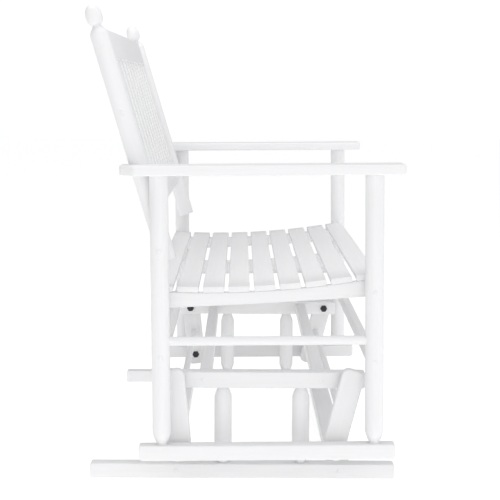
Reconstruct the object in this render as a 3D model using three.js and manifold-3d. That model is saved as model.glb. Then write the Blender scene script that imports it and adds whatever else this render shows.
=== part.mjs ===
// Wooden porch glider bench: a seat unit that hangs from a floor stand on four swing links.
// Millimetres. The bench faces -Y, its width runs along X and +Z is up. The sitter's left is +X.

import * as THREE from "three";
import { mergeVertices } from "three/addons/utils/BufferGeometryUtils.js";
import Module from "manifold-3d";

const wasm = await Module();
wasm.setup();

// Driving dimensions

const clearance = 0.3; // gap left at every glued, screwed or turning fit
const overrun = 4; // how far a cutting tool passes the face that it cuts
const arris = 3; // rounding of the long edges of sawn pieces
const tenon = { diameter: 16, length: 13 }; // round tenon at the ends of spindles and posts

// Swing links and their pivot bolts. The links hang between the seat runners and the base rails.
const link = { length: 137.5, width: 47, thickness: 24, pastPivot: 27.5, corner: 15, blindWall: 6 };
const swingRod = { diameter: 16, drop: 75, socket: 12 }; // ties a pair of links across the bench
const bolt = { shank: 10, head: 19, headHeight: 6, washer: 25, washerThickness: 2, collar: 20, spacer: 8 };
const openPivotClearance = 2.4; // slack of the front lower pivots on their bolts
const rearLinkLean = THREE.MathUtils.degToRad(5.6); // the rear links' feet sit ahead of their pivots at rest

// Seat unit. Its Y = 0 and Z = 0 lie midway between the lower pivots.
const lowerPivotSpacing = 317.2;
const post = { diameter: 38, spread: 1150, front: 239, rear: 194, neck: 20, footTaper: 26 };
const seatRunner = { width: 36, height: 31, front: 281, rear: 241, corner: 9 };
const arm = { width: 90, thickness: 20, underside: 565, front: 298, rear: 271.5, pastPost: 45 };
const armCorner = { rear: 30, front: 8, inner: 5 };
const sideRung = { diameter: 19, height: 228, socket: 12 };
const stretcher = { diameter: 27, neck: 18, taper: 42, socket: 12 };
const stretcherHeight = { front: 180, rear: 197 };

// The slats' undersides follow an arc, hollow side up, whose lowest point is given here.
const seatCurve = { radius: 1975, lowestY: 86, lowestZ: 324 };
const seatSlat = { width: 43.7, thickness: 12, pitch: 52.4, rear: 191.5, count: 9, pastRail: 2, arris: 2.5 };
const seatRail = { thickness: 20, pastRear: 22.5, pastFront: 24.5 }; // past the end slats' middles
const railFoot = { rear: 292, front: 315, sag: 2, nose: 16 };
const middleSupport = { thickness: 20, setIn: 41.5 }; // shorter than the side rails at each end

// Back. Heights are measured up the leaning posts from their lower ends.
const back = { lean: THREE.MathUtils.degToRad(16), footY: 180.5, footZ: 390.5 };
const backPost = { diameter: 38, length: 489, shoulder: 8, neck: 19, neckLength: 3 };
const finial = { diameter: 36, height: 45 };
const backRail = { thickness: 20, face: 8, arris: 3, socket: 8 };
const crest = { top: 487, height: 63 };
const lowerBack = { bottom: 94, height: 50 };
const backSlat = { width: 38, thickness: 11, face: 5, endGap: 5.9, count: 12, mortise: 9, arris: 2 };

// Floor stand. Its Y = 0 lies midway between the upper pivots.
const stand = { pivotSpacing: 365, pivotHeight: 208.5 };
const floorRunner = { width: 36, height: 31, front: 277, rear: 358, corner: 10, toe: 4 };
const baseRail = { width: 36, height: 34, pastPivot: 31, corner: 5 };
const spindle = { foot: 36.5, waist: 36, neck: 20, taper: 21, fromMiddle: 81 };
const upperBar = { depth: 26, height: 26, front: 118, rear: 118 };
const lowerBar = { depth: 44, height: 30, front: 163, rear: 193 };

// Facets
const postSides = 18;
const spindleSides = 16;
const boltSides = 12;
const cornerSteps = 1;
const arrisSteps = 2;
const linkSteps = 3;
const arcSteps = 6;

// Material

const paint = { color: 0xf3f3f1, roughness: 0.5, metalness: 0 };

// Solids

function solid(geometry) {
  const bare = geometry.clone();
  bare.deleteAttribute("normal");
  bare.deleteAttribute("uv");
  const merged = mergeVertices(bare);
  return new wasm.Manifold(
    new wasm.Mesh({
      numProp: 3,
      vertProperties: merged.attributes.position.array,
      triVerts: new Uint32Array(merged.index.array),
    }),
  );
}

function geometryOf(shape) {
  const mesh = shape.getMesh();
  const geometry = new THREE.BufferGeometry();
  geometry.setAttribute("position", new THREE.BufferAttribute(mesh.vertProperties, 3));
  geometry.setIndex(new THREE.BufferAttribute(mesh.triVerts, 1));
  geometry.computeVertexNormals();
  return geometry;
}

// Turns a shape drawn in X and Y and extruded along Z into one drawn in Y and Z that runs along X.
const acrossBench = new THREE.Matrix4().makeBasis(
  new THREE.Vector3(0, 1, 0),
  new THREE.Vector3(0, 0, 1),
  new THREE.Vector3(1, 0, 0),
);

// A sawn strip, centred, with its four long edges rounded and its ends cut square.
function strip(width, height, length, radius) {
  const right = width / 2 - radius;
  const top = height / 2 - radius;
  const section = new THREE.Shape();
  section.absarc(right, top, radius, 0, Math.PI / 2);
  section.absarc(-right, top, radius, Math.PI / 2, Math.PI);
  section.absarc(-right, -top, radius, Math.PI, Math.PI * 1.5);
  section.absarc(right, -top, radius, Math.PI * 1.5, Math.PI * 2);
  const options = { depth: length, bevelEnabled: false, curveSegments: cornerSteps };
  return new THREE.ExtrudeGeometry(section, options).translate(0, 0, -length / 2);
}

function stripAcross(depth, height, length, radius) {
  return strip(depth, height, length, radius).applyMatrix4(acrossBench);
}

// A board cut to an outline, centred in its thickness, with the arris taken off all round both faces.
function board(outline, thickness, steps = cornerSteps) {
  const options = {
    depth: thickness - 2 * arris,
    bevelThickness: arris,
    bevelSize: arris,
    bevelOffset: -arris,
    bevelSegments: arrisSteps,
    curveSegments: steps,
  };
  return new THREE.ExtrudeGeometry(outline, options).translate(0, 0, arris - thickness / 2);
}

function boardAlong(outline, thickness, steps) {
  return board(outline, thickness, steps).applyMatrix4(acrossBench);
}

// A piece turned about Z, from [radius, height] pairs that climb from the axis back to the axis.
function turned(profile, sides = postSides) {
  const points = profile.map(([radius, height]) => new THREE.Vector2(radius, height));
  return new THREE.LatheGeometry(points, sides).rotateX(Math.PI / 2);
}

// A turned piece with square steps, from [diameter, end] pairs.
function stepped(start, steps, sides = boltSides) {
  const profile = [[0, start]];
  let from = start;
  for (const [diameter, end] of steps) {
    profile.push([diameter / 2, from], [diameter / 2, end]);
    from = end;
  }
  profile.push([0, from]);
  return turned(profile, sides);
}

// Turned tapers swell from a neck to the full body like a quarter of a sine wave.
const swellShares = [0, 0.22, 0.48, 0.75, 1];

function swell(neck, body, from, to) {
  return swellShares.map((share) => [
    (neck + (body - neck) * Math.sin((share * Math.PI) / 2)) / 2,
    from + (to - from) * share,
  ]);
}

// Adds one piece to a group. Joins and cuts are solids placed in the group's own frame.
function piece(group, name, geometry, { at = [0, 0, 0], tilt = 0, joins = [], cuts = [] } = {}) {
  const mesh = new THREE.Mesh(geometry, new THREE.MeshStandardMaterial(paint));
  mesh.name = name;
  mesh.position.set(...at);
  mesh.rotation.x = tilt;
  mesh.updateMatrix();
  const toPiece = mesh.matrix.clone().invert();
  const local = (tool) => solid(tool.clone().applyMatrix4(toPiece));
  if (joins.length + cuts.length > 0) {
    const joined = joins.reduce((whole, tool) => whole.add(local(tool)), solid(geometry));
    mesh.geometry = geometryOf(cuts.reduce((whole, tool) => whole.subtract(local(tool)), joined));
  }
  group.add(mesh);
  return mesh;
}

// A hole that takes a round piece: along Z through (x, y), or along Y or X through a centre.
function holeAlongZ(diameter, x, y, from, to) {
  return stepped(from, [[diameter + 2 * clearance, to]], postSides).translate(x, y, 0);
}

function holeAlongY(diameter, x, z, from, to) {
  return stepped(-to, [[diameter + 2 * clearance, -from]], postSides).rotateX(Math.PI / 2).translate(x, 0, z);
}

function holeAlongX(diameter, y, z, from, to) {
  return stepped(from, [[diameter + 2 * clearance, to]], postSides).rotateY(Math.PI / 2).translate(0, y, z);
}

// A square-cornered pocket round a strip, by its centre and its sizes along X, Y and Z.
function pocket(centre, size) {
  const [width, depth, height] = size.map((length) => length + 2 * clearance);
  return new THREE.BoxGeometry(width, depth, height).translate(...centre);
}

// Places across the bench, outwards from its middle. They stack up inwards from the posts.

const postX = post.spread / 2;
const postInnerX = postX - post.diameter / 2;
const runnerInnerX = postX - seatRunner.width / 2;
const linkOuterX = runnerInnerX - bolt.spacer;
const linkInnerX = linkOuterX - link.thickness;
const linkX = (linkOuterX + linkInnerX) / 2;
const railOuterX = linkInnerX - bolt.spacer;
const railX = railOuterX - baseRail.width / 2;
const railInnerX = railX - baseRail.width / 2;
const backPostX = postInnerX - clearance - backPost.diameter / 2;
const seatRailX = postInnerX - clearance - seatRail.thickness / 2;

// The four-bar linkage at rest. Each point holds Y and Z of a pivot.

const upperRear = new THREE.Vector2(stand.pivotSpacing / 2, stand.pivotHeight);
const upperFront = new THREE.Vector2(-stand.pivotSpacing / 2, stand.pivotHeight);

function hang(pivot, lean) {
  return new THREE.Vector2(-Math.sin(lean), -Math.cos(lean)).multiplyScalar(link.length).add(pivot);
}

// The front link's foot lies where its own circle meets the seat runner's circle about the rear foot.
function closeLinkage(rearFoot) {
  const span = rearFoot.clone().sub(upperFront);
  const reach = span.length();
  const along = (link.length ** 2 - lowerPivotSpacing ** 2 + reach ** 2) / (2 * reach);
  const below = Math.sqrt(link.length ** 2 - along ** 2);
  const direction = span.normalize();
  const down = new THREE.Vector2(direction.y, -direction.x);
  return upperFront.clone().addScaledVector(direction, along).addScaledVector(down, below);
}

const lowerRear = hang(upperRear, rearLinkLean);
const lowerFront = closeLinkage(lowerRear);
const frontLinkLean = Math.atan2(upperFront.x - lowerFront.x, upperFront.y - lowerFront.y);
const seatTilt = Math.atan2(lowerRear.y - lowerFront.y, lowerRear.x - lowerFront.x);
const seatCentre = lowerRear.clone().add(lowerFront).divideScalar(2);

// Groups. Each left half is drawn once and mirrored for the right.

const bench = new THREE.Group();
const seatUnit = new THREE.Group();
seatUnit.position.set(0, seatCentre.x, seatCentre.y);
seatUnit.rotation.x = seatTilt;
bench.add(seatUnit);

const leaningBack = new THREE.Group();
leaningBack.position.set(0, back.footY, back.footZ);
leaningBack.rotation.x = -back.lean;
leaningBack.updateMatrix();
seatUnit.add(leaningBack);

function halves(parent) {
  return [["left", 1], ["right", -1]].map(([side, sign]) => {
    const half = new THREE.Group();
    half.scale.x = sign;
    parent.add(half);
    return [side, half];
  });
}

// Floor stand

const runnerTop = floorRunner.height;
const railBottom = stand.pivotHeight - baseRail.height / 2;
const spindlePlaces = [["front", -spindle.fromMiddle], ["rear", spindle.fromMiddle]];

// An oblong side view with rounded corners, from its front end to its rear end.
function roundedOutline(front, rear, bottom, top, lowerCorner, upperCorner) {
  const outline = new THREE.Shape();
  outline.absarc(rear - lowerCorner, bottom + lowerCorner, lowerCorner, -Math.PI / 2, 0);
  outline.absarc(rear - upperCorner, top - upperCorner, upperCorner, 0, Math.PI / 2);
  outline.absarc(front + upperCorner, top - upperCorner, upperCorner, Math.PI / 2, Math.PI);
  outline.absarc(front + lowerCorner, bottom + lowerCorner, lowerCorner, Math.PI, Math.PI * 1.5);
  return outline;
}

function spindleGeometry() {
  const length = railBottom - runnerTop - 2 * clearance;
  return turned([
    [0, -tenon.length],
    [tenon.diameter / 2, -tenon.length],
    [tenon.diameter / 2, 0],
    ...swell(spindle.neck, spindle.foot, 0, spindle.taper),
    ...swell(spindle.neck, spindle.waist, length, length - spindle.taper).reverse(),
    [tenon.diameter / 2, length],
    [tenon.diameter / 2, length + tenon.length],
    [0, length + tenon.length],
  ], spindleSides);
}

// Fast in the base rail, past a spacer and into a blind hole in the link.
function upperBoltGeometry(y) {
  const washerBack = railInnerX - bolt.washerThickness;
  return stepped(washerBack - bolt.headHeight, [
    [bolt.head, washerBack],
    [bolt.washer, railInnerX],
    [bolt.shank, railOuterX],
    [bolt.collar, linkInnerX - clearance],
    [bolt.shank, linkOuterX - link.blindWall - clearance],
  ])
    .rotateY(Math.PI / 2)
    .translate(0, y, stand.pivotHeight);
}

function boltHole(y, z, from, to, slack = clearance) {
  return stepped(from, [[bolt.shank + 2 * slack, to]]).rotateY(Math.PI / 2).translate(0, y, z);
}

function floorRunnerGeometry() {
  const { front, rear, height, width, corner, toe } = floorRunner;
  return boardAlong(roundedOutline(-front, rear, 0, height, toe, corner), width);
}

function baseRailGeometry() {
  const { height, width, corner, pastPivot } = baseRail;
  const end = upperRear.x + pastPivot;
  return boardAlong(roundedOutline(-end, end, -height / 2, height / 2, corner, corner), width);
}

function addStandHalf(side, half) {
  const socketDepth = tenon.length + clearance;
  piece(half, `floor_runner_${side}`, floorRunnerGeometry(), {
    at: [railX, 0, 0],
    cuts: spindlePlaces.map(([, y]) =>
      holeAlongZ(tenon.diameter, railX, y, runnerTop - socketDepth, runnerTop + overrun),
    ),
  });
  piece(half, `base_rail_${side}`, baseRailGeometry(), {
    at: [railX, 0, stand.pivotHeight],
    joins: [upperBoltGeometry(upperFront.x), upperBoltGeometry(upperRear.x)],
    cuts: spindlePlaces.map(([, y]) =>
      holeAlongZ(tenon.diameter, railX, y, railBottom - overrun, railBottom + socketDepth),
    ),
  });
  for (const [end, y] of spindlePlaces) {
    piece(half, `base_spindle_${end}_${side}`, spindleGeometry(), { at: [railX, y, runnerTop + clearance] });
  }
}

function addCrossBars() {
  const length = 2 * (railInnerX - clearance);
  const lowerHeight = floorRunner.height / 2;
  for (const [end, sign] of [["front", -1], ["rear", 1]]) {
    const upper = stripAcross(upperBar.depth, upperBar.height, length, arris);
    const lower = stripAcross(lowerBar.depth, lowerBar.height, length, arris);
    piece(bench, `upper_cross_bar_${end}`, upper, { at: [0, sign * upperBar[end], stand.pivotHeight] });
    piece(bench, `lower_cross_bar_${end}`, lower, { at: [0, sign * lowerBar[end], lowerHeight] });
  }
}

// Swing links, and the rods that tie them in pairs. A link's own origin is its upper pivot.

const linkPlaces = [
  ["front", upperFront, lowerFront, frontLinkLean, openPivotClearance],
  ["rear", upperRear, lowerRear, rearLinkLean, clearance],
];

function linkGeometry() {
  const { length, width, thickness, pastPivot, corner } = link;
  const side = width / 2;
  const outline = roundedOutline(-side, side, -length - pastPivot, pastPivot, corner, corner);
  return boardAlong(outline, thickness, linkSteps);
}

function rodPlace(upper, lower) {
  return upper.clone().lerp(lower, swingRod.drop / link.length);
}

function addLinks(side, half) {
  const socketEnd = linkInnerX + swingRod.socket + clearance;
  for (const [end, upper, lower, lean, slack] of linkPlaces) {
    const rod = rodPlace(upper, lower);
    piece(half, `swing_link_${end}_${side}`, linkGeometry(), {
      at: [linkX, upper.x, upper.y],
      tilt: -lean,
      cuts: [
        boltHole(upper.x, upper.y, linkInnerX - overrun, linkOuterX - link.blindWall),
        boltHole(lower.x, lower.y, linkInnerX - overrun, linkOuterX + overrun, slack),
        holeAlongX(swingRod.diameter, rod.x, rod.y, linkInnerX - overrun, socketEnd),
      ],
    });
  }
}

function addSwingRods() {
  const reach = linkInnerX + swingRod.socket;
  for (const [end, upper, lower] of linkPlaces) {
    const place = rodPlace(upper, lower);
    const rod = stepped(-reach, [[swingRod.diameter, reach]], postSides).rotateY(Math.PI / 2);
    piece(bench, `swing_rod_${end}`, rod, { at: [0, place.x, place.y] });
  }
}

// Seat unit: runners, posts, rungs, stretchers and arms

const seatRunnerTop = seatRunner.height / 2;
const postPlaces = [["front", -post.front], ["rear", post.rear]];

// The room that the four posts take, which the seat's end slats are scooped out for.
function postRooms() {
  return [-postX, postX].flatMap((x) =>
    postPlaces.map(([, y]) => holeAlongZ(post.diameter, x, y, seatRunnerTop, arm.underside)),
  );
}

// Through the link from its inner face, past a spacer and into the seat runner.
function lowerBoltGeometry(y) {
  const washerFace = linkInnerX - clearance;
  const washerBack = washerFace - bolt.washerThickness;
  return stepped(washerBack - bolt.headHeight, [
    [bolt.head, washerBack],
    [bolt.washer, washerFace],
    [bolt.shank, linkOuterX + clearance],
    [bolt.collar, runnerInnerX],
    [bolt.shank, postX],
  ])
    .rotateY(Math.PI / 2)
    .translate(0, y, 0);
}

function seatRunnerGeometry() {
  const { front, rear, height, width, corner } = seatRunner;
  return boardAlong(roundedOutline(-front, rear, -height / 2, height / 2, corner, corner), width);
}

function postGeometry() {
  const length = arm.underside - seatRunnerTop - 2 * clearance;
  return turned([
    [0, -tenon.length],
    [tenon.diameter / 2, -tenon.length],
    [tenon.diameter / 2, 0],
    ...swell(post.neck, post.diameter, 0, post.footTaper),
    [post.diameter / 2, length],
    [tenon.diameter / 2, length],
    [tenon.diameter / 2, length + tenon.length],
    [0, length + tenon.length],
  ]);
}

function armOutline() {
  const outer = arm.pastPost;
  const inner = outer - arm.width;
  const innerCorner = inner + armCorner.inner;
  const outline = new THREE.Shape();
  outline.absarc(innerCorner, armCorner.inner - arm.front, armCorner.inner, Math.PI, Math.PI * 1.5);
  outline.absarc(outer - armCorner.front, armCorner.front - arm.front, armCorner.front, -Math.PI / 2, 0);
  outline.lineTo(outer, arm.rear - armCorner.rear);
  outline.lineTo(outer - armCorner.rear, arm.rear);
  outline.absarc(innerCorner, arm.rear - armCorner.inner, armCorner.inner, Math.PI / 2, Math.PI);
  return outline;
}

function backPostTool() {
  const length = backPost.length + finial.height;
  return holeAlongZ(backPost.diameter, backPostX, 0, -overrun, length).applyMatrix4(leaningBack.matrix);
}

// The rung drives straight into both posts of its side.
function sideRungGeometry() {
  const reach = post.diameter / 2 - sideRung.socket;
  const steps = [[sideRung.diameter, post.rear - reach]];
  return stepped(reach - post.front, steps).rotateX(-Math.PI / 2);
}

// The stretchers' necks drive straight into the posts.
function stretcherGeometry() {
  const end = postInnerX + stretcher.socket;
  const shoulder = postInnerX - clearance;
  const half = swell(stretcher.neck, stretcher.diameter, shoulder, shoulder - stretcher.taper).reverse();
  const mirrored = half.map(([radius, x]) => [radius, -x]).reverse();
  const profile = [
    [0, -end],
    [stretcher.neck / 2, -end],
    ...mirrored,
    ...half,
    [stretcher.neck / 2, end],
    [0, end],
  ];
  return turned(profile, boltSides).rotateY(Math.PI / 2);
}

function addSeatHalf(side, half) {
  const socketDepth = tenon.length + clearance;
  piece(half, `seat_runner_${side}`, seatRunnerGeometry(), {
    at: [postX, 0, 0],
    joins: [lowerBoltGeometry(-lowerPivotSpacing / 2), lowerBoltGeometry(lowerPivotSpacing / 2)],
    cuts: postPlaces.map(([, y]) =>
      holeAlongZ(tenon.diameter, postX, y, seatRunnerTop - socketDepth, seatRunnerTop + overrun),
    ),
  });
  const rungReach = post.diameter / 2 - sideRung.socket - clearance;
  for (const [end, y] of postPlaces) {
    piece(half, `${end}_post_${side}`, postGeometry(), {
      at: [postX, y, seatRunnerTop + clearance],
      cuts: [
        holeAlongX(stretcher.neck, y, stretcherHeight[end], 0, postInnerX + stretcher.socket + clearance),
        holeAlongY(sideRung.diameter, postX, sideRung.height, rungReach - post.front, post.rear - rungReach),
      ],
    });
  }
  piece(half, `side_rung_${side}`, sideRungGeometry(), { at: [postX, 0, sideRung.height] });
  piece(half, `arm_${side}`, board(armOutline(), arm.thickness, arrisSteps), {
    at: [postX, 0, arm.underside + arm.thickness / 2],
    cuts: [
      ...postPlaces.map(([, y]) =>
        holeAlongZ(tenon.diameter, postX, y, arm.underside - overrun, arm.underside + socketDepth),
      ),
      backPostTool(),
    ],
  });
}

function addStretchers() {
  for (const [end, y] of postPlaces) {
    piece(seatUnit, `${end}_stretcher`, stretcherGeometry(), { at: [0, y, stretcherHeight[end]] });
  }
}

// Seat: curved rails and the slats that lie across them

function onSeatCurve(arcLength) {
  const angle = arcLength / seatCurve.radius;
  const y = seatCurve.lowestY + seatCurve.radius * Math.sin(angle);
  const z = seatCurve.lowestZ + seatCurve.radius * (1 - Math.cos(angle));
  return { angle, y, z };
}

// The slats' places along the arc. The side rails run a little past the first and the last of them.
function slatPlace(index) {
  return onSeatCurve(seatSlat.rear - seatCurve.lowestY - index * seatSlat.pitch);
}

const railRear = slatPlace(0).y + seatRail.pastRear;
const railFront = seatRail.pastFront - slatPlace(seatSlat.count - 1).y;

// A seat rail's side view: the slats' arc on top, a slightly sagging lower edge and a rounded front toe.
function seatRailOutline(front, rear) {
  const foot = (y) => {
    const share = (railRear - y) / (railRear + railFront);
    return railFoot.rear + (railFoot.front - railFoot.rear) * share;
  };
  const angleAt = (y) => Math.asin((y - seatCurve.lowestY) / seatCurve.radius) - Math.PI / 2;
  const middle = (rear - front) / 2;
  const centreZ = seatCurve.lowestZ + seatCurve.radius;
  const outline = new THREE.Shape();
  outline.moveTo(rear, foot(rear));
  outline.absarc(seatCurve.lowestY, centreZ, seatCurve.radius, angleAt(rear), angleAt(-front), true);
  outline.lineTo(-front, foot(-front) + railFoot.nose);
  outline.quadraticCurveTo(-front, foot(-front), railFoot.nose - front, foot(railFoot.nose - front));
  outline.quadraticCurveTo(middle, foot(middle) - 2 * railFoot.sag, rear, foot(rear));
  return outline;
}

function addSeat() {
  for (const [side, half] of halves(seatUnit)) {
    const rail = boardAlong(seatRailOutline(railFront, railRear), seatRail.thickness, arcSteps);
    piece(half, `seat_side_rail_${side}`, rail, { at: [seatRailX, 0, 0] });
  }
  const { setIn } = middleSupport;
  const support = seatRailOutline(railFront - setIn, railRear - setIn);
  piece(seatUnit, "middle_seat_support", boardAlong(support, middleSupport.thickness, arcSteps));

  const length = 2 * (postInnerX - clearance + seatSlat.pastRail);
  const { width, thickness, count } = seatSlat;
  for (let index = 0; index < count; index += 1) {
    const { angle, y, z } = slatPlace(index);
    const rise = clearance + thickness / 2;
    const atPost = index === 0 || index === count - 1;
    piece(seatUnit, `seat_slat_${index + 1}`, stripAcross(width, thickness, length, seatSlat.arris), {
      at: [0, y - rise * Math.sin(angle), z + rise * Math.cos(angle)],
      tilt: angle,
      cuts: atPost ? postRooms() : [],
    });
  }
}

// Back: two leaning posts with turned finials, two rails and the slats between them

const finialShares = [
  [0.75, 0.06],
  [0.95, 0.2],
  [1, 0.36],
  [0.94, 0.54],
  [0.78, 0.72],
  [0.52, 0.88],
  [0.26, 0.97],
];

function backPostGeometry() {
  const radius = backPost.diameter / 2;
  const neckFoot = backPost.length;
  const ballFoot = neckFoot + backPost.neckLength;
  const shoulder = [...swell(backPost.neck, backPost.diameter, neckFoot, neckFoot - backPost.shoulder)];
  return turned([
    [0, 0],
    [radius, 0],
    ...shoulder.reverse(),
    [backPost.neck / 2, ballFoot],
    ...finialShares.map(([wide, high]) => [(finial.diameter / 2) * wide, ballFoot + finial.height * high]),
    [0, ballFoot + finial.height],
  ]);
}

const railCentreY = backRail.thickness / 2 - backRail.face;
const slatCentreY = backSlat.thickness / 2 - backSlat.face;
const railLength = 2 * (backPostX - backPost.diameter / 2 + backRail.socket);
const crestZ = crest.top - crest.height / 2;
const lowerBackZ = lowerBack.bottom + lowerBack.height / 2;
const slatFoot = lowerBack.bottom + lowerBack.height - backSlat.mortise;
const slatHead = crest.top - crest.height + backSlat.mortise;

// The slats' middles, spread evenly between the posts with a small gap beside each end slat.
function slatPlaces() {
  const { width, count, endGap } = backSlat;
  const end = backPostX - backPost.diameter / 2 - endGap - width / 2;
  return Array.from({ length: count }, (_, index) => end * ((2 * index) / (count - 1) - 1));
}

function addBack() {
  const railPocket = (z, height) => pocket([0, railCentreY, z], [railLength, backRail.thickness, height]);
  for (const [side, half] of halves(leaningBack)) {
    piece(half, `back_post_${side}`, backPostGeometry(), {
      at: [backPostX, 0, 0],
      cuts: [railPocket(crestZ, crest.height), railPocket(lowerBackZ, lowerBack.height)],
    });
  }
  const slatLength = slatHead - slatFoot;
  const slatZ = (slatHead + slatFoot) / 2;
  const { width, thickness } = backSlat;
  const mortises = slatPlaces().map((x) => pocket([x, slatCentreY, slatZ], [width, thickness, slatLength]));
  for (const [name, z, height] of [
    ["crest_rail", crestZ, crest.height],
    ["lower_back_rail", lowerBackZ, lowerBack.height],
  ]) {
    const rail = stripAcross(backRail.thickness, height, railLength, backRail.arris);
    piece(leaningBack, name, rail, { at: [0, railCentreY, z], cuts: mortises });
  }
  slatPlaces().forEach((x, index) => {
    const slat = strip(width, thickness, slatLength, backSlat.arris);
    piece(leaningBack, `back_slat_${index + 1}`, slat, { at: [x, slatCentreY, slatZ] });
  });
}

// Assembly

for (const [side, half] of halves(bench)) {
  addStandHalf(side, half);
  addLinks(side, half);
}
addCrossBars();
addSwingRods();
for (const [side, half] of halves(seatUnit)) {
  addSeatHalf(side, half);
}
addStretchers();
addSeat();
addBack();

// The part's origin is the middle of its footprint, on the floor.
const part = new THREE.Group();
part.add(bench);
part.updateMatrixWorld(true);
const centre = new THREE.Box3().setFromObject(bench, true).getCenter(new THREE.Vector3());
bench.position.y = -centre.y;

export default part;
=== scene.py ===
# %% [markdown]
# A wooden porch glider bench in Blender.
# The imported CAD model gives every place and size. This lesson makes a finer piece for each of its
# nodes, paints the wood, and adds the pivot nuts, the washers and the screw plugs.

# %% Load the frame
import math

import bmesh
import bpy
from mathutils import Matrix, Vector


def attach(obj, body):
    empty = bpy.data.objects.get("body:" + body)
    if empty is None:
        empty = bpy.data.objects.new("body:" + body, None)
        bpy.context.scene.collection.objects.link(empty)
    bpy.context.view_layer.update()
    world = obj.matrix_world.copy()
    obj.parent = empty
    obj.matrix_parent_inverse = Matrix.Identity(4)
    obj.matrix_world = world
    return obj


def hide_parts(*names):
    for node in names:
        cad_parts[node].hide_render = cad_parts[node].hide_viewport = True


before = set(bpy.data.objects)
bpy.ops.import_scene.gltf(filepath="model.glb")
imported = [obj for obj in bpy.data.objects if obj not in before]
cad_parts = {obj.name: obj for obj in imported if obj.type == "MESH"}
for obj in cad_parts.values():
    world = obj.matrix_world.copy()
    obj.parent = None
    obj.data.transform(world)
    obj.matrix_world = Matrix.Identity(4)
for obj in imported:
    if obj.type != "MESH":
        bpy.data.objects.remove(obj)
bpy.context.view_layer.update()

# %% [markdown]
# A maker measures this bench in millimetres, and Blender works in metres. So each piece is made in
# millimetres round its own origin, and one matrix then carries it to its place in metres. The bench
# has three sloping frames: the seat hangs nearly level, the back leans in the seat, and each swing
# link leans about its upper pivot. Each frame is a matrix that is named once.

# %% Places
METRES = Matrix.Scale(0.001, 4)
SIDES = [("left", 1), ("right", -1)]
ENDS = ["front", "rear"]


def shift(x=0.0, y=0.0, z=0.0):
    return Matrix.Translation((x, y, z))


def turn(degrees, axis):
    return Matrix.Rotation(math.radians(degrees), 4, axis)


def tip(degrees):
    """A turn about the bench's long axis. A positive one lowers a flat board's front edge."""
    return turn(degrees, "X")


STAND_Y = -39.53
SEAT_Y, SEAT_Z, SEAT_LEAN = -29.03, 73.52, -0.6715
BACK_Y, BACK_Z, BACK_LEAN = 180.5, 390.5, -16
UPPER_PIVOT_Y = {"front": -182.5, "rear": 182.5}
LOWER_PIVOT_Y = {"front": -158.6, "rear": 158.6}
LINK_LEAN = {"front": 14.49, "rear": -5.6}
PIVOT_HEIGHT = 208.5

STAND = shift(0, STAND_Y)
SEAT = shift(0, SEAT_Y, SEAT_Z) @ tip(SEAT_LEAN)
BACK = SEAT @ shift(0, BACK_Y, BACK_Z) @ tip(BACK_LEAN)
UPPER_PIVOT = {end: STAND @ shift(0, UPPER_PIVOT_Y[end], PIVOT_HEIGHT) for end in ENDS}
LINK = {end: UPPER_PIVOT[end] @ tip(LINK_LEAN[end]) for end in ENDS}

# Distances from the middle of the bench to the middles and faces of its layers
BEAM = 36.0  # the thickness of the runners and base rails
POST_RADIUS = 19.0
POST_X, POST_INNER_X, POST_OUTER_X = 575.0, 556.0, 594.0
LINK_X, LINK_INNER_X, LINK_OUTER_X = 537.0, 525.0, 549.0
RAIL_X, RAIL_INNER_X, RAIL_OUTER_X = 499.0, 481.0, 517.0
RUNNER_INNER_X = 557.0
BACK_POST_X, BACK_POST_OUTER_X = 536.7, 555.7
SEAT_RAIL_X = 545.7

# Shapes that are drawn flat are stood up along the bench's sides: x becomes y, and y becomes z
UPRIGHT = Matrix(((0, 0, 1, 0), (1, 0, 0, 0), (0, 1, 0, 0), (0, 0, 0, 1)))
# Turned pieces are made standing. One turn lays them along the bench, the other front to rear
ALONG_X = turn(90, "Y")
ALONG_Y = turn(-90, "X")
print("seat frame:", [round(value, 1) for value in SEAT.translation], "mm from the middle")

# %% [markdown]
# The paint is what the eye meets first. It is white and satin, brushed on pine, so three things
# show up close: faint brush lines along each piece, slight raised grain under them, and a gloss
# that comes and goes a little. The nuts are dark zinc plated steel and the washers pale nylon, both
# a little mottled. An image would need UV maps, so every pattern is a noise on Object coordinates.
# Colour and roughness both come from such a noise, and three small helpers link them to a shader.

# %% Helpers for the finishes
def new_finish(name):
    """A new material with its nodes, links, shader and Object coordinates."""
    finish = bpy.data.materials.new(name)
    finish.use_nodes = True
    nodes, links = finish.node_tree.nodes, finish.node_tree.links
    place = nodes.new("ShaderNodeTexCoord")
    return finish, nodes, links, nodes["Principled BSDF"], place.outputs["Object"]


def noise(nodes, links, space, size, detail=3.0, roughness=0.5):
    pattern = nodes.new("ShaderNodeTexNoise")
    pattern.inputs["Scale"].default_value = size
    pattern.inputs["Detail"].default_value = detail
    pattern.inputs["Roughness"].default_value = roughness
    links.new(space, pattern.inputs["Vector"])
    return pattern.outputs["Fac"]


def vary_colour(nodes, links, pattern, dark, light, start=0.0, end=1.0):
    """The base colour goes from dark to light as the pattern goes from start to end."""
    ramp = nodes.new("ShaderNodeValToRGB")
    low, high = ramp.color_ramp.elements
    low.position, low.color = start, (*dark, 1)
    high.position, high.color = end, (*light, 1)
    links.new(pattern, ramp.inputs["Fac"])
    links.new(ramp.outputs["Color"], nodes["Principled BSDF"].inputs["Base Color"])


def vary_gloss(nodes, links, pattern, smooth, rough):
    """The roughness goes from smooth to rough with the pattern."""
    spread = nodes.new("ShaderNodeMapRange")
    spread.inputs["To Min"].default_value = smooth
    spread.inputs["To Max"].default_value = rough
    links.new(pattern, spread.inputs["Value"])
    links.new(spread.outputs["Result"], nodes["Principled BSDF"].inputs["Roughness"])


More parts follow.
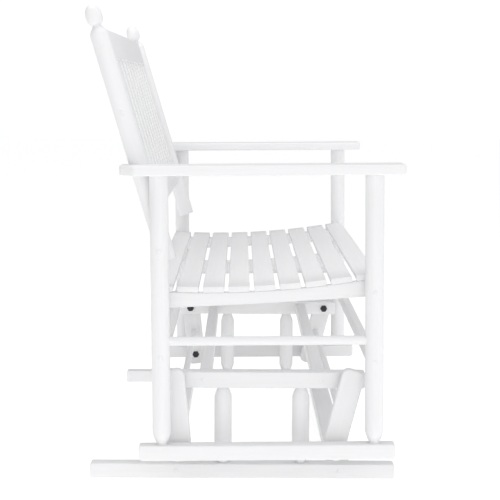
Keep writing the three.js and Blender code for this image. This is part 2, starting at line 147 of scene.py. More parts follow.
# %% [markdown]
# One stretched noise gives the brush lines and the grain, and a broad one gives the uneven gloss.
# Relief this shallow could only be modelled with millions of faces, so it stays a bump. Boards run
# along different axes, so each direction has its own copy of the paint. The Mapping node holds the
# size of one streak and, for leaning pieces, the lean.

# %% Painted wood
STREAK, WIDTH = 0.14, 0.006  # metres, along and across one brush line
PAINT_LOW, PAINT_HIGH = (0.815, 0.815, 0.818), (0.84, 0.84, 0.842)
PATCHES = 14.0  # patches of gloss to a metre
RELIEF_STRENGTH, RELIEF_DEPTH = 0.1, 0.0003


def painted_wood(name, grain_size, lean=0.0):
    paint, nodes, links, shader, place = new_finish(name)
    grain_space = nodes.new("ShaderNodeMapping")
    grain_space.vector_type = "TEXTURE"
    grain_space.inputs["Scale"].default_value = grain_size
    grain_space.inputs["Rotation"].default_value = (math.radians(lean), 0, 0)
    links.new(place, grain_space.inputs["Vector"])

    grain = noise(nodes, links, grain_space.outputs["Vector"], 1.0, roughness=0.6)
    vary_colour(nodes, links, grain, PAINT_LOW, PAINT_HIGH, start=0.3, end=0.7)
    patches = noise(nodes, links, place, PATCHES)
    vary_gloss(nodes, links, patches, smooth=0.36, rough=0.52)

    relief = nodes.new("ShaderNodeBump")
    relief.inputs["Strength"].default_value = RELIEF_STRENGTH
    relief.inputs["Distance"].default_value = RELIEF_DEPTH
    links.new(grain, relief.inputs["Height"])
    links.new(relief.outputs["Normal"], shader.inputs["Normal"])
    return paint


STANDING_GRAIN = (WIDTH, WIDTH, STREAK)
PAINT_X = painted_wood("white_paint_along_x", (STREAK, WIDTH, WIDTH))
PAINT_Y = painted_wood("white_paint_along_y", (WIDTH, STREAK, WIDTH))
PAINT_Z = painted_wood("white_paint_upright", STANDING_GRAIN)
PAINT_BACK = painted_wood("white_paint_back", STANDING_GRAIN, BACK_LEAN + SEAT_LEAN)
PAINT_LINK = {
    end: painted_wood(f"white_paint_{end}_links", STANDING_GRAIN, LINK_LEAN[end]) for end in ENDS
}
print("paints:", [paint.name for paint in bpy.data.materials if "white_paint" in paint.name])

# %% [markdown]
# The nuts are plain hexagon nuts. The washers and spacers are nylon, as on many gliders, because
# nylon runs quietly against wood and needs no oil. One flat colour would make either look like a
# toy, so one fine speckle moves the colour and the gloss of both.

# %% Steel and nylon
def speckled(name, dark, light, smooth, rough, metallic, specks):
    finish, nodes, links, shader, place = new_finish(name)
    shader.inputs["Metallic"].default_value = metallic
    pattern = noise(nodes, links, place, specks, detail=4.0)
    vary_colour(nodes, links, pattern, dark, light)
    vary_gloss(nodes, links, pattern, smooth, rough)
    return finish


STEEL = speckled(
    "dark_zinc_steel", dark=(0.012, 0.012, 0.014), light=(0.09, 0.09, 0.1),
    smooth=0.24, rough=0.45, metallic=0.9, specks=400.0,
)
NYLON = speckled(
    "pale_nylon", dark=(0.9, 0.9, 0.89), light=(0.96, 0.96, 0.95),
    smooth=0.35, rough=0.5, metallic=0.0, specks=250.0,
)
print("finishes:", STEEL.name, NYLON.name)

# %% [markdown]
# Every piece is finished in the same way, so one function does it. It carries the mesh to its
# place, points its faces outwards, smooths the shading but keeps sharp edges sharp, paints it,
# parents it to the empty of the body that it moves with, and hides the CAD nodes that it stands
# for. The right half is the left half's mirror image. A Mirror modifier would join both halves in
# one piece, so each side is made on its own, with a matrix that flips x.

# %% Finish a piece
CREASE = math.radians(40)
made = []


def finish_piece(name, shape, place, body, paint, stands_for=()):
    bmesh.ops.transform(shape, matrix=METRES @ place, verts=shape.verts)
    bmesh.ops.recalc_face_normals(shape, faces=shape.faces)
    open_edges = sum(not edge.is_manifold for edge in shape.edges)
    if open_edges:
        print("open edges on", name, open_edges)
    mesh = bpy.data.meshes.new(name)
    shape.to_mesh(mesh)
    shape.free()
    mesh.shade_smooth()
    mesh.set_sharp_from_angle(angle=CREASE)
    mesh.materials.append(paint)
    piece = bpy.data.objects.new(name, mesh)
    bpy.context.scene.collection.objects.link(piece)
    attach(piece, body)
    if stands_for:
        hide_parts(*stands_for)
    made.append(name)


def on_side(sign, place):
    """The same place on the left half, or mirrored onto the right half."""
    return Matrix.Scale(sign, 4, (1, 0, 0)) @ place


print("edges stay sharp above", round(math.degrees(CREASE)), "degrees")

# %% [markdown]
# Sawn strips are most of the bench: slats, bars and rails. A strip starts as a cube that is scaled
# to size. Its four long edges get a round bevel, as a router leaves them, and its ends a slight
# one, as sandpaper does. A bevel that is only in the shading would leave the outline hard, so it
# is cut into the mesh.

# %% Sawn strips
ROUND = {"affect": "EDGES", "profile": 0.5, "material": -1}
SANDED = 0.9
FACING = 0.9  # a face looks along an axis when its normal's share along it is above this


def strip(size, along, rounding):
    """A strip with its length along axis number along. Sizes are along x, y and z."""
    shape = bmesh.new()
    bmesh.ops.create_cube(shape, size=1)
    bmesh.ops.scale(shape, vec=size, verts=shape.verts)
    long_edges = [
        edge for edge in shape.edges
        if abs((edge.verts[0].co - edge.verts[1].co)[along]) > size[along] / 2
    ]
    bmesh.ops.bevel(shape, geom=long_edges, offset=rounding, segments=4, **ROUND)
    shape.normal_update()
    end_faces = [face for face in shape.faces if abs(face.normal[along]) > FACING]
    rims = dict.fromkeys(edge for face in end_faces for edge in face.edges)
    bmesh.ops.bevel(shape, geom=list(rims), offset=SANDED, segments=2, **ROUND)
    return shape


print("faces on one strip:", len(strip((500, 40, 12), 0, 3).faces))

# %% [markdown]
# Runners, links and arms are boards cut to an outline. One face is drawn by its corners, each
# corner is rounded by a vertex bevel, the face is extruded to the board's thickness, and the edges
# round both faces are bevelled. Drawing the arcs point by point would do the same with more
# arithmetic.

# %% Boards cut to an outline
ARRIS = 3.0  # the rounding along a board's edges
ROUND_CORNER = {**ROUND, "affect": "VERTICES"}


def board(corners, thickness):
    """A flat board from (x, y, rounding) corners, with its thickness along z."""
    shape = bmesh.new()
    verts = [shape.verts.new((x, y, -thickness / 2)) for x, y, _ in corners]
    shape.faces.new(verts)
    for vert, (_, _, rounding) in zip(verts, corners):
        bmesh.ops.bevel(shape, geom=[vert], offset=rounding, segments=8, **ROUND_CORNER)
    grown = bmesh.ops.extrude_face_region(shape, geom=shape.faces[:])
    far_side = [item for item in grown["geom"] if isinstance(item, bmesh.types.BMVert)]
    bmesh.ops.translate(shape, vec=(0, 0, thickness), verts=far_side)
    bmesh.ops.recalc_face_normals(shape, faces=shape.faces)
    flat = [face for face in shape.faces if abs(face.normal.z) > FACING]
    rims = dict.fromkeys(edge for face in flat for edge in face.edges)
    bmesh.ops.bevel(shape, geom=list(rims), offset=ARRIS, segments=4, **ROUND)
    return shape


def oblong(front, rear, bottom, top, lower, upper):
    """The corners of a side view, whose lower and upper corners have their own roundings."""
    return [(front, bottom, lower), (rear, bottom, lower), (rear, top, upper), (front, top, upper)]


print("faces on one board:", len(board(oblong(-100, 100, -20, 20, 5, 5), 20).faces))

# %% [markdown]
# Posts, spindles and finials come off a lathe, so they are spun: a line of points down one side is
# turned a full circle about the axis, and the ends of the circle are merged. Stacked cylinders and
# cones would show a kink wherever two of them meet. The shoulders swell from a neck to the full
# body, nearly straight at the neck and rounder towards the body.

# %% Turned pieces
FULLNESS = 1.4  # 1 is a straight taper, and 2 a round one
MERGED = 0.0005


def turned(outline, steps=56):
    """A piece spun about z from (radius, height) points that start and end on the axis."""
    shape = bmesh.new()
    line = [shape.verts.new((radius, 0, height)) for radius, height in outline]
    edges = [shape.edges.new(pair) for pair in zip(line, line[1:])]
    bmesh.ops.spin(
        shape, geom=line + edges, cent=(0, 0, 0), axis=(0, 0, 1),
        angle=math.tau, steps=steps, use_merge=True,
    )
    bmesh.ops.remove_doubles(shape, verts=shape.verts, dist=MERGED)
    return shape


def rod(radius, start, end):
    """A plain turned rod about z."""
    return turned([(0, start), (radius, start), (radius, end), (0, end)], 40)


def shoulder(neck, body, start, end, points=9):
    """Points that swell from the neck's diameter at start to the body's diameter at end."""
    shares = [step / (points - 1) for step in range(points)]
    return [
        ((neck + (body - neck) * (1 - (1 - share) ** FULLNESS)) / 2, start + (end - start) * share)
        for share in shares
    ]


print("faces on one rod:", len(rod(10, 0, 100).faces))

# %% [markdown]
# The floor stand comes first, since everything hangs on it. Two runners lie flat on the floor, and
# four spindles stand on them and carry two base rails. The runners and rails are boards, for their
# eased ends, which a plain strip doesn't have. The spindles are narrow at both ends and are spun.

# %% Stand runners, rails and spindles
FLOOR_RUNNER = {"front": -277, "rear": 358, "bottom": 0, "top": 31, "lower": 4, "upper": 4}
BASE_RAIL = {"front": -213.5, "rear": 213.5, "bottom": -17, "top": 17, "lower": 4.5, "upper": 4.5}
STAND_SPINDLE_Y = {"front": -81, "rear": 81}
SPINDLE_NECK, SPINDLE_FOOT, SPINDLE_HEAD, SPINDLE_SHOULDER = 20, 36.5, 36, 21
TENON = 10  # the radius of a turned end inside the wood that carries it
SUNK = 1.5  # how far it goes in

length = PIVOT_HEIGHT + BASE_RAIL["bottom"] - FLOOR_RUNNER["top"]
spindle_outline = [
    (0, -SUNK), (TENON, -SUNK), *shoulder(SPINDLE_NECK, SPINDLE_FOOT, 0, SPINDLE_SHOULDER),
    *reversed(shoulder(SPINDLE_NECK, SPINDLE_HEAD, length, length - SPINDLE_SHOULDER)),
    (TENON, length + SUNK), (0, length + SUNK),
]
for side, sign in SIDES:
    finish_piece(
        f"stand_runner_{side}", board(oblong(**FLOOR_RUNNER), BEAM),
        on_side(sign, STAND @ shift(RAIL_X) @ UPRIGHT),
        "stand", PAINT_Y, [f"floor_runner_{side}"],
    )
    finish_piece(
        f"stand_rail_{side}", board(oblong(**BASE_RAIL), BEAM),
        on_side(sign, STAND @ shift(RAIL_X, 0, PIVOT_HEIGHT) @ UPRIGHT),
        "stand", PAINT_Y, [f"base_rail_{side}"],
    )
    for end in ENDS:
        place = STAND @ shift(RAIL_X, STAND_SPINDLE_Y[end], FLOOR_RUNNER["top"])
        finish_piece(
            f"stand_spindle_{end}_{side}", turned(spindle_outline), on_side(sign, place),
            "stand", PAINT_Z, [f"base_spindle_{end}_{side}"],
        )
print("pieces with the stand's sides:", len(made))

# %% [markdown]
# Four bars tie the two sides of the stand together: two slim ones between the base rails and two
# broader ones between the floor runners. They could be boards like the runners, but their ends
# don't show, so plain strips do. Each is a hair shorter than the space that it fills, so that its
# ends don't lie in the faces beside them.

# %% Stand bars
BAR_LENGTH = 2 * RAIL_INNER_X - 0.6
UPPER_BAR, LOWER_BAR = (BAR_LENGTH, 26, 26), (BAR_LENGTH, 44, 30)
UPPER_BAR_Y = {"front": -118, "rear": 118}
LOWER_BAR_Y = {"front": -163, "rear": 193}
for end in ENDS:
    finish_piece(
        f"stand_upper_bar_{end}", strip(UPPER_BAR, 0, ARRIS),
        STAND @ shift(0, UPPER_BAR_Y[end], PIVOT_HEIGHT),
        "stand", PAINT_X, [f"upper_cross_bar_{end}"],
    )
    finish_piece(
        f"stand_lower_bar_{end}", strip(LOWER_BAR, 0, ARRIS),
        STAND @ shift(0, LOWER_BAR_Y[end], FLOOR_RUNNER["top"] / 2),
        "stand", PAINT_X, [f"lower_cross_bar_{end}"],
    )
print("stand pieces:", len(made))

# %% [markdown]
# The swing is two pairs of links. Each link is an oblong board with round corners, hung on its
# upper pivot, and a thin rod ties each pair across the bench. A link could be drawn leaning, where
# it hangs, but then every corner would need working out. Its origin is its pivot instead, so its
# lean is one turn, which its frame already holds.

# %% Swing links
LINK_BOARD = {
    "front": -23.5, "rear": 23.5, "bottom": -165, "top": 27.5, "lower": 15, "upper": 15,
}
ROD_DROP, ROD_RADIUS = 75, 8
for end in ENDS:
    for side, sign in SIDES:
        finish_piece(
            f"link_{end}_{side}", board(oblong(**LINK_BOARD), LINK_OUTER_X - LINK_INNER_X),
            on_side(sign, LINK[end] @ shift(LINK_X) @ UPRIGHT),
            f"{end}_swing", PAINT_LINK[end], [f"swing_link_{end}_{side}"],
        )
    reach = LINK_INNER_X + SUNK
    finish_piece(
        f"link_rod_{end}", rod(ROD_RADIUS, -reach, reach),
        LINK[end] @ shift(0, 0, -ROD_DROP) @ ALONG_X,
        f"{end}_swing", PAINT_X, [f"swing_rod_{end}"],
    )
print("pieces with the swing:", len(made))

# %% [markdown]
# A bolt runs through each pivot, and its nut holds it on the inner side. The nut starts as a
# six-sided cone with equal ends, bevelled as real nuts are. The bolt's end stands in it as a small
# dome. A thread would be finer than a pixel here, so none is cut.

# %% Nuts and bolt ends
NUT_RADIUS, NUT_HEIGHT, NUT_BEVEL = 9.6, 6, 0.7
BOLT_RADIUS, BOLT_DOME, DOME_ROWS = 5, 2.2, 6


def nut(start):
    shape = bmesh.new()
    bmesh.ops.create_cone(
        shape, cap_ends=True, segments=6, radius1=NUT_RADIUS, radius2=NUT_RADIUS, depth=NUT_HEIGHT
    )
    bmesh.ops.bevel(shape, geom=shape.edges[:], offset=NUT_BEVEL, segments=2, **ROUND)
    bmesh.ops.translate(shape, vec=(0, 0, start - NUT_HEIGHT / 2), verts=shape.verts)
    return shape


def bolt_end(start):
    angles = [row / DOME_ROWS * math.pi / 2 for row in range(DOME_ROWS)]
    dome = [
        (BOLT_RADIUS * math.cos(angle), start - BOLT_DOME * math.sin(angle)) for angle in angles
    ]
    return turned([(0, start), *dome, (0, start - BOLT_DOME)], 32)


print("faces on one nut:", len(nut(0).faces), "and on one bolt end:", len(bolt_end(0).faces))

# %% [markdown]
# Each pivot is a stack along one axis: the nut with the bolt's end, a pale washer under it, and a
# spacer that keeps the link clear of the board beside it. One function builds the stack for an
# upper or a lower pivot, and is told at which faces the nut and the spacer lie. The spacer and the
# washer are round, so they are spun too.

# %% Hardware on the pivots
WASHER = 2  # thickness
WASHER_OUTLINE = [(0, -WASHER), (12.2, -WASHER), (12.5, -1.7), (12.5, -0.2), (12.2, 0), (0, 0)]
SPACER_RADIUS, RUNNING_GAP = 10, 0.3


def add_pivot(name, pivot, sign, body, face, spacer_from, spacer_to):
    place = on_side(sign, pivot @ ALONG_X)
    nut_face = face - WASHER
    finish_piece(f"{name}_nut", nut(nut_face), place, body, STEEL)
    finish_piece(
        f"{name}_bolt_end", bolt_end(nut_face - NUT_HEIGHT), place, body, STEEL
    )
    washer = turned([(radius, face + depth) for radius, depth in WASHER_OUTLINE], 40)
    finish_piece(f"{name}_washer", washer, place, body, NYLON)
    spacer = rod(SPACER_RADIUS, spacer_from, spacer_to)
    finish_piece(f"{name}_spacer", spacer, place, body, NYLON)


for end in ENDS:
    lower_pivot = SEAT @ shift(0, LOWER_PIVOT_Y[end])
    for side, sign in SIDES:
        add_pivot(
            f"upper_pivot_{end}_{side}", UPPER_PIVOT[end], sign, "stand",
            RAIL_INNER_X, RAIL_OUTER_X, LINK_INNER_X - RUNNING_GAP,
        )
        add_pivot(
            f"lower_pivot_{end}_{side}", lower_pivot, sign, "seat",
            LINK_INNER_X - RUNNING_GAP, LINK_OUTER_X + RUNNING_GAP, RUNNER_INNER_X,
        )
print("pieces with the pivots:", len(made))

# %% [markdown]
# The seat unit has two runners of its own, which hang outside the stand's, a little above the
# floor. Four posts rise from them on narrow feet to the arms, and a rung joins the two posts of
# each side. A post could be a cylinder with a cone below it, but one spun outline lets the foot
# swell into the post without a kink.

# %% Runners, posts and rungs
SEAT_RUNNER = {"front": -281, "rear": 241, "bottom": -15.5, "top": 15.5, "lower": 9, "upper": 4}
ARM_UNDERSIDE = 565.0
POST_Y = {"front": -239, "rear": 194}
POST_NECK, POST_COLLAR, POST_SHOULDER = 21, 3, 26
RUNG_RADIUS, RUNG_INSET, RUNG_HEIGHT = 9.5, 12, 228

length = ARM_UNDERSIDE - SEAT_RUNNER["top"]
post_outline = [
    (0, -SUNK), (POST_NECK / 2, -SUNK),
    *shoulder(POST_NECK, 2 * POST_RADIUS, POST_COLLAR, POST_SHOULDER, 11),
    (POST_RADIUS, length + SUNK), (0, length + SUNK),
]
for side, sign in SIDES:
    finish_piece(
        f"glide_runner_{side}", board(oblong(**SEAT_RUNNER), BEAM),
        on_side(sign, SEAT @ shift(POST_X) @ UPRIGHT),
        "seat", PAINT_Y, [f"seat_runner_{side}"],
    )
    for end in ENDS:
        finish_piece(
            f"arm_post_{end}_{side}", turned(post_outline),
            on_side(sign, SEAT @ shift(POST_X, POST_Y[end], SEAT_RUNNER["top"])),
            "seat", PAINT_Z, [f"{end}_post_{side}"],
        )
    span = POST_Y["rear"] - POST_Y["front"]
    finish_piece(
        f"rung_{side}", rod(RUNG_RADIUS, RUNG_INSET, span - RUNG_INSET),
        on_side(sign, SEAT @ shift(POST_X, POST_Y["front"], RUNG_HEIGHT) @ ALONG_Y),
        "seat", PAINT_Y, [f"side_rung_{side}"],
    )
print("pieces with the posts:", len(made))

# %% [markdown]
# Two long stretchers, one at the front and one at the rear, keep the posts of both sides apart.
# They are turned thinner at each end, where they enter the posts. The taper is worked out once for
# one end and mirrored for the other, so that both are alike.

# %% Stretchers
STRETCHER_HEIGHT = {"front": 180, "rear": 197}
STRETCHER_NECK, STRETCHER_BODY, STRETCHER_TAPER, STRETCHER_SOCKET = 18, 27, 42, 4
reach = POST_INNER_X + STRETCHER_SOCKET
taper = shoulder(STRETCHER_NECK, STRETCHER_BODY, POST_INNER_X, POST_INNER_X - STRETCHER_TAPER)
stretcher_outline = [
    (0, -reach), (STRETCHER_NECK / 2, -reach), *((radius, -x) for radius, x in taper),
    *reversed(taper), (STRETCHER_NECK / 2, reach), (0, reach),
]
for end in ENDS:
    finish_piece(
        f"stretcher_{end}", turned(stretcher_outline, 40),
        SEAT @ shift(0, POST_Y[end], STRETCHER_HEIGHT[end]) @ ALONG_X,
        "seat", PAINT_X, [f"{end}_stretcher"],
    )
print("pieces with the stretchers:", len(made))

# %% [markdown]
# The arms are flat boards that run past the posts. Their corners are eased, and the outer rear
# corner is cut off at an angle. A Boolean could cut that corner, but one more corner in the outline
# does it without a tool. They are drawn flat, so they need no turn.

# %% Arms
ARM_HALF, ARM_FRONT, ARM_REAR, ARM_CUT, ARM_THICKNESS = 45, -298, 271.5, 30, 20
EASED, OUTER_EASED = 5, 8
arm_corners = [
    (-ARM_HALF, ARM_FRONT, EASED), (ARM_HALF, ARM_FRONT, OUTER_EASED),
    (ARM_HALF, ARM_REAR - ARM_CUT, EASED), (ARM_HALF - ARM_CUT, ARM_REAR, EASED),
    (-ARM_HALF, ARM_REAR, EASED),
]
for side, sign in SIDES:
    finish_piece(
        f"armrest_{side}", board(arm_corners, ARM_THICKNESS),
        on_side(sign, SEAT @ shift(POST_X, 0, ARM_UNDERSIDE + ARM_THICKNESS / 2)),
        "seat", PAINT_Y, [f"arm_{side}"],
    )
print("pieces with the arms:", len(made))

# %% [markdown]
# The seat is slightly hollowed, so that it is easier to sit on. Its slats lie on one wide arc. A
# list of places would do, but one function gives each slat's place on the arc, and the rails follow
# the same arc, so the two can't drift apart.

# %% The seat's arc
ARC_RADIUS, ARC_Y, ARC_Z = 1975.0, 86.0, 324.0
SLAT_COUNT, SLAT_PITCH, REAR_SLAT_Y = 9, 52.4, 191.5


def slat_place(index):
    """Angle, y and z of a slat's underside on the seat's arc. The rearmost slat is number 0."""
    angle = (REAR_SLAT_Y - ARC_Y - index * SLAT_PITCH) / ARC_RADIUS
    return angle, ARC_Y + ARC_RADIUS * math.sin(angle), ARC_Z + ARC_RADIUS * (1 - math.cos(angle))


SIDE_RAIL_REAR = slat_place(0)[1] + 22.5
SIDE_RAIL_FRONT = slat_place(SLAT_COUNT - 1)[1] - 24.5
print("seat rails run from", round(SIDE_RAIL_FRONT, 1), "to", round(SIDE_RAIL_REAR, 1))

# %% [markdown]
# A seat rail is a board with a hollow top. It starts as a straight board that is cut into stations,
# and each station is then raised to the seat's arc on top and to a slightly sagging line below. The
# front lower corner is rounded next, and the long edges last. A Curve modifier would bend the top
# and the underside alike, and here they differ.

# %% The shape of a seat rail
RAIL_THICKNESS, STATIONS = 20, 28
REAR_UNDERSIDE, FRONT_UNDERSIDE, SAG = 292, 315, 2
FRONT_ROUNDING, RAIL_ARRIS = 14, 2.5
OUTER_FOLD = 0.9  # radians, an edge that folds more than this is an outer edge


def seat_rail(front, rear):
    shape = bmesh.new()
    bmesh.ops.create_cube(shape, size=1)
    bmesh.ops.scale(shape, vec=(RAIL_THICKNESS, rear - front, 1), verts=shape.verts)
    bmesh.ops.translate(shape, vec=(0, (rear + front) / 2, 0), verts=shape.verts)
    lengthwise = [
        edge for edge in shape.edges if abs(edge.verts[0].co.y - edge.verts[1].co.y) > 1
    ]
    bmesh.ops.subdivide_edges(shape, edges=lengthwise, cuts=STATIONS, use_grid_fill=True)
    for vert in shape.verts:
        y = vert.co.y
        forward = (SIDE_RAIL_REAR - y) / (SIDE_RAIL_REAR - SIDE_RAIL_FRONT)
        share = (y - front) / (rear - front)
        if vert.co.z > 0:
            vert.co.z = ARC_Z + ARC_RADIUS - math.sqrt(ARC_RADIUS**2 - (y - ARC_Y) ** 2)
        else:
            straight = REAR_UNDERSIDE + (FRONT_UNDERSIDE - REAR_UNDERSIDE) * forward
            vert.co.z = straight - SAG * (1 - (2 * share - 1) ** 2)
    front_edges = [
        edge for edge in shape.edges
        if all(abs(vert.co.y - front) < 0.01 for vert in edge.verts)
        and abs(edge.verts[0].co.x - edge.verts[1].co.x) > 1
    ]
    lowest = min(front_edges, key=lambda edge: edge.verts[0].co.z)
    bmesh.ops.bevel(shape, geom=[lowest], offset=FRONT_ROUNDING, segments=8, **ROUND)
    shape.normal_update()
    cheeks = [face for face in shape.faces if abs(face.normal.x) > FACING]
    rims = dict.fromkeys(
        edge for face in cheeks for edge in face.edges
        if abs(edge.calc_face_angle(0)) > OUTER_FOLD
    )
    bmesh.ops.bevel(shape, geom=list(rims), offset=RAIL_ARRIS, segments=3, **ROUND)
    return shape


print("faces on one seat rail:", len(seat_rail(SIDE_RAIL_FRONT, SIDE_RAIL_REAR).faces))

# %% [markdown]
# Two of these rails carry the ends of the slats, inside the posts. A third one, shorter at both
# ends, holds the slats up in the middle of the bench, where they would give way. The same function
# makes all three, because they lie under the same arc.

# %% Seat rails
SUPPORT_INSET = 41.5
for side, sign in SIDES:
    finish_piece(
        f"seat_rail_{side}", seat_rail(SIDE_RAIL_FRONT, SIDE_RAIL_REAR),
        on_side(sign, SEAT @ shift(SEAT_RAIL_X)), "seat", PAINT_Y, [f"seat_side_rail_{side}"],
    )
finish_piece(
    "seat_support", seat_rail(SIDE_RAIL_FRONT + SUPPORT_INSET, SIDE_RAIL_REAR - SUPPORT_INSET),
    SEAT, "seat", PAINT_Y, ["middle_seat_support"],
)
print("pieces with the seat rails:", len(made))

# %% [markdown]
# Nine slats lie across the rails with a small gap between them, for the rain to run off. Each is a
# strip that is tipped to the arc's slope at its place. An Array along a curve would do the same,
# but each slat stands for a CAD node of its own, so each one is a piece.

# %% Seat slats
SEAT_SLAT = (1115.4, 43.7, 12)
SLAT_EDGE, SLAT_GAP = 2.5, 0.3
for index in range(SLAT_COUNT):
    angle, y, z = slat_place(index)
    rise = shift(0, 0, SEAT_SLAT[2] / 2 + SLAT_GAP)
    finish_piece(
        f"slat_{index + 1}", strip(SEAT_SLAT, 0, SLAT_EDGE),
        SEAT @ shift(0, y, z) @ tip(math.degrees(angle)) @ rise,
        "seat", PAINT_X, [f"seat_slat_{index + 1}"],
    )
print("pieces with the seat:", len(made))

# %% [markdown]
# The back posts end in egg-shaped finials. A scaled sphere would be as blunt at the top as at the
# foot, and these are fullest below the middle. So a few points give the outline, and a Catmull-Rom
# curve through them gives the rest, without flats.

# %% A smooth line through a few points
def smooth_line(points, steps=5):
    """Points along a Catmull-Rom curve through the given points."""
    ends = [points[0], *points, points[-1]]
    line = []
    for p0, p1, p2, p3 in zip(ends, ends[1:], ends[2:], ends[3:]):
        for t in (step / steps for step in range(steps)):
            line.append(tuple(
                b + ((c - a) * t + (2 * a - 5 * b + 4 * c - d) * t**2
                     + (3 * b - a - 3 * c + d) * t**3) / 2
                for a, b, c, d in zip(p0, p1, p2, p3)
            ))
    return [*line, points[-1]]


print("points on a line through three:", len(smooth_line([(0, 0), (1, 1), (2, 0)])))

# %% [markdown]
# The back leans on two posts. Each is turned in one piece with its finial, so one outline runs from
# the foot over the shoulder and the neck to the top of the egg. A post and an egg made apart would
# show a seam that the real post doesn't have.

# %% Back posts with finials
EGG = [
    (0.53, 0.0), (0.74, 0.06), (0.91, 0.17), (0.99, 0.32), (1.0, 0.44),
    (0.96, 0.6), (0.83, 0.77), (0.6, 0.9), (0.32, 0.975), (0.0, 1.0),
]
EGG_RADIUS, EGG_HEIGHT = 16.9, 43
NECK, NECK_FOOT, EGG_FOOT, NECK_SHOULDER = 19, 489, 492, 15
POST_FOOT = [(0, 0), (17.6, 0), (18.6, 0.4), (POST_RADIUS, 1.4)]
egg = [(EGG_RADIUS * wide, EGG_FOOT + EGG_HEIGHT * high) for wide, high in smooth_line(EGG)]
neck = shoulder(NECK, 2 * POST_RADIUS, NECK_FOOT, NECK_FOOT - NECK_SHOULDER)
for side, sign in SIDES:
    finish_piece(
        f"back_upright_{side}", turned([*POST_FOOT, *reversed(neck), *egg]),
        on_side(sign, BACK @ shift(BACK_POST_X)), "seat", PAINT_BACK, [f"back_post_{side}"],
    )
print("pieces with the back posts:", len(made))

# %% [markdown]
# Two rails are let into the posts, and twelve flat slats into the rails. They could be built
# upright and leaned as a group. Here the back's frame already holds the lean, so each strip goes
# straight to its place.

# %% Back rails and slats
TOP_RAIL, TOP_RAIL_HEIGHT = (1051.4, 20, 63), 455.5
BOTTOM_RAIL, BOTTOM_RAIL_HEIGHT = (1051.4, 20, 50), 119
BACK_RAIL_Y = 2
BACK_SLAT, BACK_SLAT_Y, BACK_SLAT_HEIGHT = (38, 11, 298), 0.5, 284
BACK_SLATS, BACK_PITCH = 12, 89.6
finish_piece(
    "top_rail", strip(TOP_RAIL, 0, ARRIS), BACK @ shift(0, BACK_RAIL_Y, TOP_RAIL_HEIGHT),
    "seat", PAINT_X, ["crest_rail"],
)
finish_piece(
    "bottom_rail", strip(BOTTOM_RAIL, 0, ARRIS), BACK @ shift(0, BACK_RAIL_Y, BOTTOM_RAIL_HEIGHT),
    "seat", PAINT_X, ["lower_back_rail"],
)
for index in range(BACK_SLATS):
    x = (index - (BACK_SLATS - 1) / 2) * BACK_PITCH
    finish_piece(
        f"back_strip_{index + 1}", strip(BACK_SLAT, 2, 2),
        BACK @ shift(x, BACK_SLAT_Y, BACK_SLAT_HEIGHT),
        "seat", PAINT_BACK, [f"back_slat_{index + 1}"],
    )
print("pieces with the back:", len(made))

# %% [markdown]
# Small wooden plugs cover the screws. Each is a low dome in a narrow ring, with a groove between
# them that catches a little shadow. A painted dot would stay flat when the light moves, so each
# plug is spun and laid against its face.

# %% Screw plugs
PLUG_OUTLINE = [
    (0, -1.5), (5.4, -1.5), (5.4, 0.3), (5.1, 0.5), (4.7, 0.4),
    (4.4, 0.1), (4.0, 0.5), (3.0, 1.0), (1.6, 1.25), (0, 1.3),
]
PLUGS = [
    ("runner_front", "stand", STAND, (RAIL_OUTER_X, -160, 16)),
    ("runner_rear", "stand", STAND, (RAIL_OUTER_X, 179, 16)),
    ("rail_front", "stand", STAND, (RAIL_OUTER_X, -122, PIVOT_HEIGHT)),
    ("rail_rear", "stand", STAND, (RAIL_OUTER_X, 122, PIVOT_HEIGHT)),
    ("post_rear_back", "seat", SEAT, (POST_OUTER_X, POST_Y["rear"], 413)),
    ("post_front_rail", "seat", SEAT, (POST_OUTER_X, POST_Y["front"], 326)),
    ("post_front_stretcher", "seat", SEAT, (POST_OUTER_X, POST_Y["front"], 184)),
    ("post_rear_stretcher", "seat", SEAT, (POST_OUTER_X, POST_Y["rear"], 197)),
    ("back_top", "seat", BACK, (BACK_POST_OUTER_X, 0, 452)),
    ("back_middle", "seat", BACK, (BACK_POST_OUTER_X, 0, 310)),
    ("back_bottom", "seat", BACK, (BACK_POST_OUTER_X, 0, 119)),
]
for side, sign in SIDES:
    for name, body, home, where in PLUGS:
        place = on_side(sign, home @ shift(*where)) @ ALONG_X
        finish_piece(f"plug_{name}_{side}", turned(PLUG_OUTLINE, 24), place, body, PAINT_Z)
print("pieces made:", len(made))

# %% [markdown]
# The bench is seen from its right side, a little from above. The camera's place and its long lens
# were fitted to the picture once, and are written here as plain numbers.

# %% Camera
LENS, SENSOR = 106, 36
CAMERA_PLACE = (-3.5171, 0.0073, 0.8144)
HEADING, DOWNWARD, ROLL = -90.379, 6.362, 0.338
camera = bpy.data.objects.new("camera", bpy.data.cameras.new("camera"))
bpy.context.scene.collection.objects.link(camera)
bpy.context.scene.camera = camera
camera.data.lens = LENS
camera.data.sensor_width = SENSOR
camera.matrix_world = (
    shift(*CAMERA_PLACE) @ turn(HEADING, "Z") @ turn(90 - DOWNWARD, "X") @ turn(ROLL, "Z")
)
print("camera height:", CAMERA_PLACE[2], "m")

# %% [markdown]
# The light is a white studio. Most of it comes from a soft surround that is brightest above, in
# front and on the camera's side, so the turned pieces darken towards their rear edges. The camera
# itself sees the surround as plain white. The surround's slope is one dot product of the direction
# with a vector, so no image of a sky is needed.

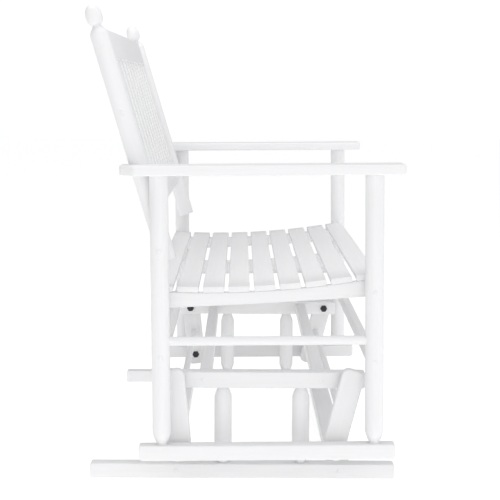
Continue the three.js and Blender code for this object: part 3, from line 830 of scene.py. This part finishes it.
# %% Soft surround
SLOPE, MIDDLE_LEVEL, SEEN_LEVEL = (-0.2, -0.24, 0.17), 0.57, 1.05
world = bpy.data.worlds.new("studio")
bpy.context.scene.world = world
world.use_nodes = True
tree = world.node_tree
surround = tree.nodes["Background"]
surround.inputs["Color"].default_value = (0.985, 0.985, 1.0, 1)
direction = tree.nodes.new("ShaderNodeTexCoord")
slope = tree.nodes.new("ShaderNodeVectorMath")
slope.operation = "DOT_PRODUCT"
slope.inputs[1].default_value = SLOPE
tree.links.new(direction.outputs["Generated"], slope.inputs[0])
soft_light = tree.nodes.new("ShaderNodeMath")
soft_light.inputs[1].default_value = MIDDLE_LEVEL
tree.links.new(slope.outputs["Value"], soft_light.inputs[0])
rays = tree.nodes.new("ShaderNodeLightPath")
level = tree.nodes.new("ShaderNodeMix")
level.inputs["B"].default_value = SEEN_LEVEL
tree.links.new(rays.outputs["Is Camera Ray"], level.inputs["Factor"])
tree.links.new(soft_light.outputs["Value"], level.inputs["A"])
tree.links.new(level.outputs["Result"], surround.inputs["Strength"])
print("surround:", MIDDLE_LEVEL, "with slope", SLOPE)

# %% [markdown]
# Two large panels give the light a direction: one beside the camera lights the side that it sees,
# and one above lights the tops. They are large because small lamps would draw hard shadows.

# %% Panels
PANEL_SIZE = 2.6  # metres
AIM = Vector((0.0, 0.0, 0.45))


def panel(name, watts, place):
    light = bpy.data.objects.new(name, bpy.data.lights.new(name, "AREA"))
    light.data.energy = watts
    light.data.size = PANEL_SIZE
    facing = (AIM - Vector(place)).to_track_quat("-Z", "Y").to_matrix().to_4x4()
    light.matrix_world = shift(*place) @ facing
    bpy.context.scene.collection.objects.link(light)


panel("side_panel", 16, (-4.2, -0.6, 1.1))
panel("top_panel", 37, (-0.3, 0.6, 3.2))
print("panels:", PANEL_SIZE, "m wide, aimed at", tuple(round(value, 2) for value in AIM))

# %% [markdown]
# The floor is a large pale sheet. It glows a little, as a lit studio table does, so the shadows
# under the bench stay faint.

# %% Floor
FLOOR_HALF, FLOOR_GLOW = 20, 0.4
floor_shape = bmesh.new()
bmesh.ops.create_grid(floor_shape, x_segments=1, y_segments=1, size=FLOOR_HALF)
floor_mesh = bpy.data.meshes.new("studio_floor")
floor_shape.to_mesh(floor_mesh)
floor_shape.free()
floor = bpy.data.objects.new("studio_floor", floor_mesh)
bpy.context.scene.collection.objects.link(floor)
floor_paint = bpy.data.materials.new("pale_floor")
floor_paint.use_nodes = True
floor_shader = floor_paint.node_tree.nodes["Principled BSDF"]
floor_shader.inputs["Base Color"].default_value = (0.9, 0.9, 0.9, 1)
floor_shader.inputs["Roughness"].default_value = 0.8
floor_shader.inputs["Emission Color"].default_value = (1, 1, 1, 1)
floor_shader.inputs["Emission Strength"].default_value = FLOOR_GLOW
floor_mesh.materials.append(floor_paint)
bpy.context.scene.view_settings.view_transform = "Standard"
print("floor:", 2 * FLOOR_HALF, "m wide")
